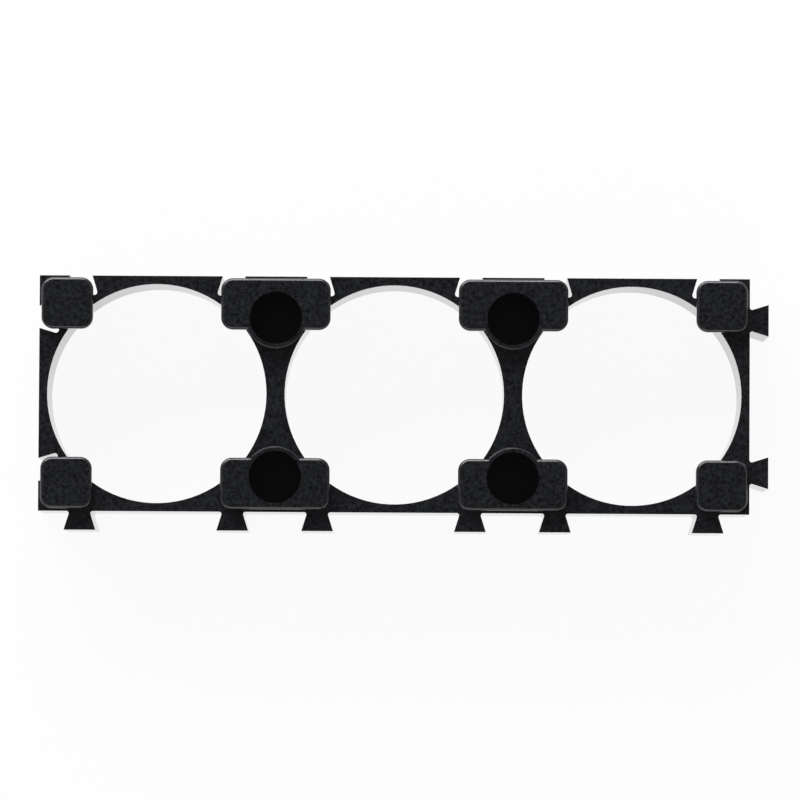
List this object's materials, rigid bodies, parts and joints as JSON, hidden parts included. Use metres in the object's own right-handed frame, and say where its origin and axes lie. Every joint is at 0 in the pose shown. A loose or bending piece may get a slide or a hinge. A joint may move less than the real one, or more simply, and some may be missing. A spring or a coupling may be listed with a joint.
{
  "type": "battery cell holder bracket",
  "caption": "Moulded plastic bracket that holds round cells side by side in a row, with raised stop pads and dovetail joints for building larger packs.",
  "frame": {"origin": "on the middle cell's axis, on the flat back face where the cells go in", "axes": "+X along the row of cells, towards the short side with dovetails; +Y towards the long side with slots; +Z from the back face to the pads; it lies on its back face"},
  "size_m": [0.062, 0.0216, 0.009],
  "materials": {
    "black_abs": "fine satin moulded grain"
  },
  "bodies": {
    "root": {"cell_bracket": "black_abs"}
  },
  "joints": []
}
